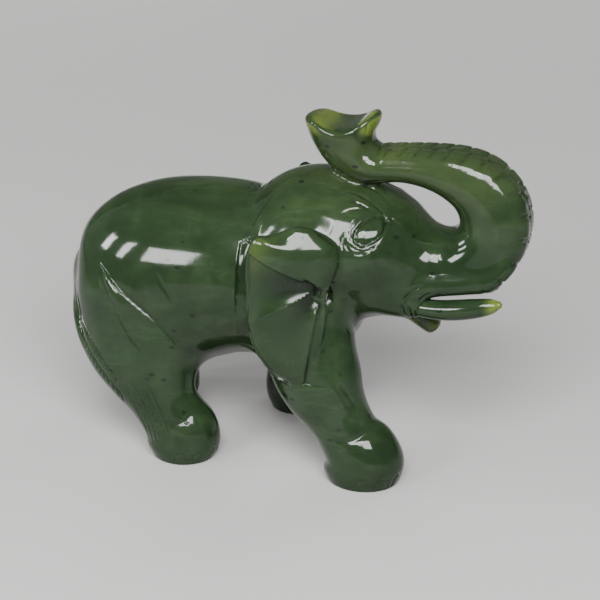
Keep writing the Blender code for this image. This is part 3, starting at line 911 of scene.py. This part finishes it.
def carve_tusk(stations, around=48, steps=8):
    """A tusk: oval sections carried along a curve, closed by a rounded tip and a flat root."""
    path = through(stations, steps)
    centre = path[:, :3]
    along = unit(np.gradient(centre, axis=0))
    up = unit(np.cross((0, 1, 0), along))
    side = np.cross(along, up)
    turn = np.arange(around) * 2 * np.pi / around
    # each ring: centre + up * high * cos(turn) + side * wide * sin(turn)
    rings = centre[:, None] + up[:, None] * (path[:, 3, None] * np.cos(turn))[..., None]
    rings = rings + side[:, None] * (path[:, 4, None] * np.sin(turn))[..., None]
    tip_steps = np.sin(np.linspace(0, np.pi / 2, 7)[1:-1])
    tip = []
    for share in tip_steps:
        ring = centre[-1] + (rings[-1] - centre[-1]) * math.sqrt(1 - share**2)
        tip.append(ring + along[-1] * share * path[-1, 3] * TIP_REACH)
    rings = np.concatenate([rings, np.array(tip)])
    count = len(rings)
    root, point = rings[0].mean(0), centre[-1] + along[-1] * path[-1, 3] * TIP_REACH
    points = np.vstack([rings.reshape(-1, 3), root, point])
    i, j = np.meshgrid(np.arange(count - 1), np.arange(around), indexing="ij")
    i, j = i.ravel(), j.ravel()
    k = (j + 1) % around
    quads = np.stack([i * around + j, i * around + k, (i + 1) * around + k, (i + 1) * around + j], 1)
    ring = np.arange(around)
    following = (ring + 1) % around
    last = (count - 1) * around
    root_fan = np.stack([following, ring, np.full(around, count * around)], 1)
    tip_fan = np.stack([last + ring, last + following, np.full(around, count * around + 1)], 1)
    faces = quads.tolist() + root_fan.tolist() + tip_fan.tolist()
    mesh = bpy.data.meshes.new("tusk_skin")
    mesh.from_pydata(((points + (SLIDE_X, 0, 0)) * MM).tolist(), [], faces)
    mesh.update()
    mesh.shade_smooth()
    # The tip counts as thin: the finish paints its glow there.
    thin = 0.05 + 0.95 * ease((points[:, 0] - points[:, 0].max() + 9) / 8)
    mesh.attributes.new("thin", "FLOAT", "POINT").data.foreach_set("value", thin.astype(np.float32))
    mesh.attributes.new("cut", "FLOAT", "POINT")
    return mesh


# ---------------------------------------------------------------------------------------------------
# Shader arithmetic and the finishes
# ---------------------------------------------------------------------------------------------------
class Value:
    """A number socket in a node tree. Python's arithmetic on it adds Math nodes."""

    def __init__(self, look, socket):
        self.look = look
        self.socket = socket

    def maths(self, operation, *terms, clamp=False):
        """One Math node."""
        node = self.look.tree.nodes.new("ShaderNodeMath")
        node.operation = operation
        node.use_clamp = clamp
        for entry, term in zip(node.inputs, terms):
            self.look.feed(entry, term)
        return Value(self.look, node.outputs[0])

    def __add__(self, other):
        return self.maths("ADD", self, other)

    __radd__ = __add__

    def __sub__(self, other):
        return self.maths("SUBTRACT", self, other)

    def __rsub__(self, other):
        return self.maths("SUBTRACT", other, self)

    def __mul__(self, other):
        return self.maths("MULTIPLY", self, other)

    __rmul__ = __mul__

    def __truediv__(self, other):
        return self.maths("DIVIDE", self, other)

    def __rtruediv__(self, other):
        return self.maths("DIVIDE", other, self)

    def __abs__(self):
        return self.maths("ABSOLUTE", self)

    def within(self):
        """Held between 0 and 1."""
        return self.maths("ADD", self, 0.0, clamp=True)

    def rise(self, low, high):
        """0 below `low`, 1 above `high`, smooth between; with low above high it falls instead."""
        settings = {"interpolation_type": "SMOOTHSTEP"}
        sockets = {"Value": self, "From Min": low, "From Max": high, "To Min": 0.0, "To Max": 1.0}
        return self.look.value("ShaderNodeMapRange", settings, sockets)


class Look:
    """A material under construction."""

    def __init__(self, name):
        self.material = bpy.data.materials.new(name)
        self.material.use_nodes = True
        self.tree = self.material.node_tree
        self.tree.nodes.clear()

    def feed(self, entry, given):
        """Links a socket, or sets a plain value."""
        if isinstance(given, Value):
            given = given.socket
        if isinstance(given, bpy.types.NodeSocket):
            self.tree.links.new(given, entry)
        else:
            entry.default_value = given

    def node(self, kind, settings=None, sockets=None):
        """Any node: its type, its settings first, then its sockets by name or number."""
        made = self.tree.nodes.new(kind)
        for name, setting in (settings or {}).items():
            setattr(made, name, setting)
        for name, given in (sockets or {}).items():
            self.feed(made.inputs[name], given)
        return made

    def value(self, kind, settings=None, sockets=None, output=0):
        """A node's number output, ready for arithmetic."""
        return Value(self, self.node(kind, settings, sockets).outputs[output])

    def blend(self, share, first, second):
        """A colour: `first` where share is 0, `second` where it is 1."""
        settings = {"data_type": "RGBA"}
        return self.node("ShaderNodeMix", settings, {0: share, 6: first, 7: second}).outputs[2]

    def noise(self, place, scale, detail=4.0, rough=0.5, warp=0.0):
        """Cloudy noise from 0 to 1."""
        sockets = {"Vector": place, "Scale": scale, "Detail": detail, "Roughness": rough, "Distortion": warp}
        return self.value("ShaderNodeTexNoise", None, sockets)

    def stretched(self, place, turn, factors):
        """The place turned, then scaled along each axis."""
        settings = {"vector_type": "POINT"}
        sockets = {"Vector": place, "Rotation": turn, "Scale": factors}
        return self.node("ShaderNodeMapping", settings, sockets).outputs[0]


def jade(name, colours):
    """Polished nephrite: cloudy deep green with pale veins and black specks, with a painted glow where it is
    thin and painted shade in its cuts.
    """
    look = Look(name)
    place = look.node("ShaderNodeTexCoord").outputs["Object"]
    thin = look.value("ShaderNodeAttribute", {"attribute_name": "thin"}, None, 2)
    cut = look.value("ShaderNodeAttribute", {"attribute_name": "cut"}, None, 2)
    drift = look.stretched(place, (0.3, 0.5, 0.2), (1.0, 1.6, 2.4))
    clouds = look.noise(drift, 17.0, 5.0, 0.55, 0.9)
    mottle = look.noise(place, 95.0, 6.0, 0.62, 0.4)
    grainy = look.noise(place, 900.0, 3.0, 0.6)
    veins = look.noise(look.stretched(place, (0.2, 0.9, 0.6), (1.0, 3.5, 6.0)), 13.0, 7.0, 0.6, 1.6)
    vein = abs(veins - 0.5).rise(0.022, 0.0) * clouds.rise(0.38, 0.62)
    spread = look.stretched(place, (0.4, 0.2, 0.7), (1.0, 1.0, 1.7))
    cells = {"Vector": spread, "Scale": 150.0, "Randomness": 1.0}
    cell = look.value("ShaderNodeTexVoronoi", {"feature": "F1"}, cells)
    speck = cell.rise(0.24, 0.12) * look.noise(place, 45.0, 2.0).rise(0.50, 0.60)

    tone = look.blend(clouds.rise(0.30, 0.70), colours.deep_green, colours.mid_green)
    tone = look.blend(mottle.rise(0.42, 0.78) * 0.22, tone, colours.pale_green)
    tone = look.blend(vein * 0.2, tone, colours.pale_green)
    height = look.value("ShaderNodeSeparateXYZ", None, {"Vector": place}, 2)
    tone = look.blend(height.rise(0.088, 0.128) * clouds.rise(0.25, 0.7) * 0.3, tone, colours.olive)
    # Painted glow: the colour of light shining through the stone, painted on where it is thin.
    tone = look.blend((thin.rise(0.12, 0.95) * (0.75 + 0.35 * mottle)).within(), tone, colours.painted_glow)
    # Painted shade: the cuts are darkened towards deep green, and the deepest, such as the ear's heart,
    # towards the specks' near black.
    tone = look.blend(cut * 0.75, tone, colours.deep_green)
    tone = look.blend(cut.rise(0.42, 1.0) * 0.7, tone, colours.speck)
    tone = look.blend(speck * 0.9, tone, colours.speck)
    smear = look.noise(look.stretched(place, (0.1, 0.4, 0.9), (1.0, 4.0, 1.0)), 60.0, 4.0, 0.6)
    rough = 0.07 + 0.06 * smear.rise(0.45, 0.75) + 0.16 * cut + 0.03 * grainy
    relief = 0.6 * mottle + 0.12 * grainy - 0.5 * speck
    dents = {"Height": relief, "Strength": 0.10, "Distance": 0.0004}
    bump = look.node("ShaderNodeBump", None, dents).outputs[0]
    settings = {"subsurface_method": "RANDOM_WALK"}
    sockets = {
        "Base Color": tone,
        "Roughness": rough,
        "Normal": bump,
        "IOR": 1.52,
        "Specular IOR Level": 0.20,
        "Subsurface Weight": colours.glow,
        "Subsurface Radius": (0.35, 1.0, 0.22),
        "Subsurface Scale": 0.006,
    }
    skin = look.node("ShaderNodeBsdfPrincipled", settings, sockets)
    look.node("ShaderNodeOutputMaterial", None, {"Surface": skin.outputs[0]})
    return look.material


def plain(name, colour, roughness):
    """Matt paint with a fine tooth."""
    look = Look(name)
    place = look.node("ShaderNodeTexCoord").outputs["Object"]
    tooth = look.noise(place, 400.0, 3.0)
    rough = roughness + 0.05 * tooth
    skin = look.node("ShaderNodeBsdfPrincipled", None, {"Base Color": colour, "Roughness": rough})
    look.node("ShaderNodeOutputMaterial", None, {"Surface": skin.outputs[0]})
    return look.material


# ---------------------------------------------------------------------------------------------------
# The studio
# ---------------------------------------------------------------------------------------------------
AIM = (SLIDE_X * MM, 0.0, 0.060)
CAMERA_AZIMUTH = math.radians(16)
CAMERA_ELEVATION = math.radians(24)
CAMERA_DISTANCE = 0.750
LENS = 117.0
SENSOR = 36.0
LAMPS = [
    # name, azimuth, elevation, distance, (width, height), watts, whether its pane shows in the polish
    ("side_window_1", -76, 21, 0.9, (0.12, 0.20), 3.6, True),
    ("side_window_2", -56, 22, 0.9, (0.09, 0.22), 3.0, True),
    ("side_window_3", -31, 23, 0.9, (0.30, 0.22), 9.0, True),
    ("front_window_1", -3, 46, 0.9, (0.07, 0.30), 3.6, True),
    ("front_window_2", 13, 42, 0.9, (0.26, 0.40), 14.0, True),
    ("far_window", 36, 37, 0.9, (0.30, 0.40), 15.0, True),
    ("left_fill", 155, 20, 1.2, (0.7, 0.6), 14.0, False),
    ("rear_fill", 215, 20, 1.2, (0.7, 0.6), 14.0, False),
]
SKY_COLOUR = (0.78, 0.80, 0.82, 1)
SKY_STRENGTH = 0.46


def around_aim(azimuth, elevation, distance):
    """A place round the elephant: azimuth from straight in front of its right side, towards its head."""
    flat = math.cos(elevation) * distance
    return np.add(AIM, (math.sin(azimuth) * flat, -math.cos(azimuth) * flat, math.sin(elevation) * distance))


def point_at_aim(thing):
    """Turns a lamp or a camera towards the elephant's middle."""
    gaze = Vector(AIM) - thing.location
    thing.rotation_euler = gaze.to_track_quat("-Z", "Y").to_euler()


def backdrop_mesh():
    """A floor that sweeps up into a wall: a quarter circle between two flats, carried straight across."""
    turn = np.linspace(0, np.pi / 2, 24)
    bend = 0.5
    curve = np.stack([1.3 + bend * np.sin(turn), bend * (1 - np.cos(turn))], 1)
    profile = np.vstack([[[-2.5, 0.0]], curve, [[1.3 + bend, 3.0]]])
    width = 3.0
    points = [(x, y, z) for y, z in profile for x in (-width, width)]
    faces = [(2 * i, 2 * i + 1, 2 * i + 3, 2 * i + 2) for i in range(len(profile) - 1)]
    mesh = bpy.data.meshes.new("studio_floor")
    mesh.from_pydata(points, [], faces)
    mesh.update()
    mesh.shade_smooth()
    return mesh


# ---------------------------------------------------------------------------------------------------
# The add-on
# ---------------------------------------------------------------------------------------------------
def colour_setting(name, description, default):
    """A colour that the user can change."""
    return bpy.props.FloatVectorProperty(
        name=name, description=description, default=default, size=4, subtype="COLOR", min=0.0, max=1.0
    )


class JadeElephantSettings(bpy.types.PropertyGroup):
    """The user's sizes and colours"""

    skin_grain: bpy.props.FloatProperty(
        name="Skin grain",
        description="Spacing of the points that the body's skin is first drawn from",
        default=FINE_GRAIN * MM, min=0.0004, max=0.004, precision=5, unit="LENGTH", subtype="DISTANCE",
    )
    glow: bpy.props.FloatProperty(
        name="Glow", description="How much of the light goes into the stone and comes out again",
        default=0.35, min=0.0, max=1.0, subtype="FACTOR",
    )
    # Deep green also paints the shade in the cuts.
    deep_green: colour_setting("Deep green", "The stone where it is darkest", (0.005, 0.011, 0.004, 1.0))
    mid_green: colour_setting("Mid green", "The stone's main colour", (0.0088, 0.0172, 0.0072, 1.0))
    pale_green: colour_setting("Pale green", "Clouds and veins", (0.027, 0.046, 0.020, 1.0))
    olive: colour_setting("Olive", "The yellower stone of the trunk", (0.027, 0.037, 0.010, 1.0))
    # Painted glow: the colour of light shining through thin places, painted into the stone.
    painted_glow: colour_setting("Lime", "Thin places that light shines through", (0.052, 0.072, 0.012, 1.0))
    # The specks' colour also paints the shade in the deepest cuts.
    speck: colour_setting("Specks", "Black mineral specks", (0.003, 0.005, 0.003, 1.0))
    floor: colour_setting("Floor", "The studio's floor and backdrop", (0.23, 0.226, 0.222, 1.0))


def show(name, mesh, material, node):
    """Puts a finished piece on the scene in place of its CAD node."""
    piece = bpy.data.objects.new(name, mesh)
    bpy.context.scene.collection.objects.link(piece)
    mesh.materials.append(material)
    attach(piece, "root")
    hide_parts(node)
    return piece


class JADE_OT_body(bpy.types.Operator):
    """Carve the elephant's body from one block of jade"""

    bl_idname = "jade_elephant.body"
    bl_label = "Carved body"

    def execute(self, context):
        settings = context.scene.jade_elephant
        grain = GRAIN
        fine_grain = settings.skin_grain / MM
        mesh = carve_body(grain, fine_grain)
        show("jade_body", mesh, jade("body_jade", settings), "carved_body")
        return {"FINISHED"}


class JADE_OT_tusks(bpy.types.Operator):
    """Carve the two tusks that are pegged into the mouth"""

    bl_idname = "jade_elephant.tusks"
    bl_label = "Tusks"

    def execute(self, context):
        look = jade("tusk_jade", context.scene.jade_elephant)
        sides = (("jade_right_tusk", RIGHT_TUSK, "right_tusk"), ("jade_left_tusk", LEFT_TUSK, "left_tusk"))
        for name, stations, node in sides:
            show(name, carve_tusk(stations), look, node)
        return {"FINISHED"}


class JADE_OT_stage(bpy.types.Operator):
    """Add the studio: floor, backdrop, lights and camera"""

    bl_idname = "jade_elephant.stage"
    bl_label = "Studio"

    def execute(self, context):
        scene = context.scene
        floor = bpy.data.objects.new("studio_floor", backdrop_mesh())
        floor.data.materials.append(plain("studio_paint", scene.jade_elephant.floor, 0.55))
        scene.collection.objects.link(floor)
        for name, azimuth, elevation, distance, size, power, shows in LAMPS:
            lamp = bpy.data.lights.new(name, "AREA")
            lamp.shape = "RECTANGLE"
            lamp.size, lamp.size_y = size
            lamp.energy = power
            holder = bpy.data.objects.new(name, lamp)
            scene.collection.objects.link(holder)
            holder.visible_glossy = shows
            holder.location = around_aim(math.radians(azimuth), math.radians(elevation), distance)
            point_at_aim(holder)
        world = bpy.data.worlds.new("studio_air")
        world.use_nodes = True
        world.node_tree.nodes["Background"].inputs[0].default_value = SKY_COLOUR
        world.node_tree.nodes["Background"].inputs[1].default_value = SKY_STRENGTH
        scene.world = world
        camera = bpy.data.objects.new("camera", bpy.data.cameras.new("camera"))
        camera.data.sensor_width = SENSOR
        camera.data.lens = LENS
        camera.data.clip_start = 0.05
        camera.location = around_aim(CAMERA_AZIMUTH, CAMERA_ELEVATION, CAMERA_DISTANCE)
        scene.collection.objects.link(camera)
        point_at_aim(camera)
        scene.camera = camera
        return {"FINISHED"}


class JADE_PT_panel(bpy.types.Panel):
    """The add-on's settings and its buttons"""

    bl_label = "Jade Elephant"
    bl_idname = "JADE_PT_panel"
    bl_space_type = "VIEW_3D"
    bl_region_type = "UI"
    bl_category = "Jade Elephant"

    def draw(self, context):
        settings = context.scene.jade_elephant
        for name in JadeElephantSettings.__annotations__:
            self.layout.prop(settings, name)
        for operator in OPERATORS:
            self.layout.operator(operator.bl_idname)


OPERATORS = (JADE_OT_body, JADE_OT_tusks, JADE_OT_stage)
CLASSES = (JadeElephantSettings, *OPERATORS, JADE_PT_panel)


def register():
    """Adds the add-on's classes and settings to Blender."""
    for each in CLASSES:
        bpy.utils.register_class(each)
    bpy.types.Scene.jade_elephant = bpy.props.PointerProperty(type=JadeElephantSettings)


def unregister():
    """Takes them away again."""
    del bpy.types.Scene.jade_elephant
    for each in reversed(CLASSES):
        bpy.utils.unregister_class(each)


def main():
    """Builds every piece and the stage."""
    register()
    bpy.ops.jade_elephant.body()
    bpy.ops.jade_elephant.tusks()
    bpy.ops.jade_elephant.stage()


if __name__ == "__main__":
    main()
